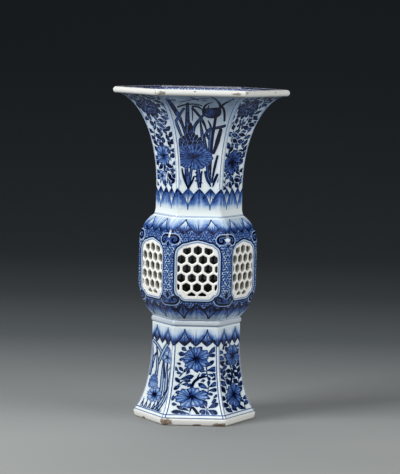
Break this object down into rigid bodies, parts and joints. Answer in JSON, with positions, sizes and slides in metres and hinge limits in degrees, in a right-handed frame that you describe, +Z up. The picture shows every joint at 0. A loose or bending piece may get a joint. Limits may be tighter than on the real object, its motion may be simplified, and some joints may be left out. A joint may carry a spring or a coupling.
{
  "type": "hexagonal porcelain vase",
  "caption": "Hexagonal beaker vase with a flared foot, a drum of pierced honeycomb windows and a trumpet neck, painted in underglaze blue.",
  "frame": {"origin": "middle of the foot ring, on the surface that the vase stands on", "axes": "+Z up along the vase's axis; one flat face looks along -Y and two corners lie on the X axis"},
  "size_m": [0.139, 0.1204, 0.26],
  "materials": {
    "painted_porcelain": "underglaze cobalt painting under a clear glossy glaze",
    "pierced_porcelain": "white body under a clear glossy glaze",
    "white_porcelain": "white body under a clear glossy glaze",
    "foot_ring": "glazed outside, bare gritty foot edge with fired brown specks"
  },
  "bodies": {
    "root": {"foot_ring": "foot_ring", "floor_plate": "white_porcelain", "foot_slab_1": "painted_porcelain", "foot_slab_2": "painted_porcelain", "foot_slab_3": "painted_porcelain", "foot_slab_4": "painted_porcelain", "foot_slab_5": "painted_porcelain", "foot_slab_6": "painted_porcelain", "waist_band": "white_porcelain", "drum_slab_1": "painted_porcelain", "drum_slab_2": "painted_porcelain", "drum_slab_3": "painted_porcelain", "drum_slab_4": "painted_porcelain", "drum_slab_5": "painted_porcelain", "drum_slab_6": "painted_porcelain", "pierced_panel_1": "pierced_porcelain", "pierced_panel_2": "pierced_porcelain", "pierced_panel_3": "pierced_porcelain", "pierced_panel_4": "pierced_porcelain", "pierced_panel_5": "pierced_porcelain", "pierced_panel_6": "pierced_porcelain", "neck_slab_1": "painted_porcelain", "neck_slab_2": "painted_porcelain", "neck_slab_3": "painted_porcelain", "neck_slab_4": "painted_porcelain", "neck_slab_5": "painted_porcelain", "neck_slab_6": "painted_porcelain", "mouth_lip": "white_porcelain"}
  },
  "joints": []
}
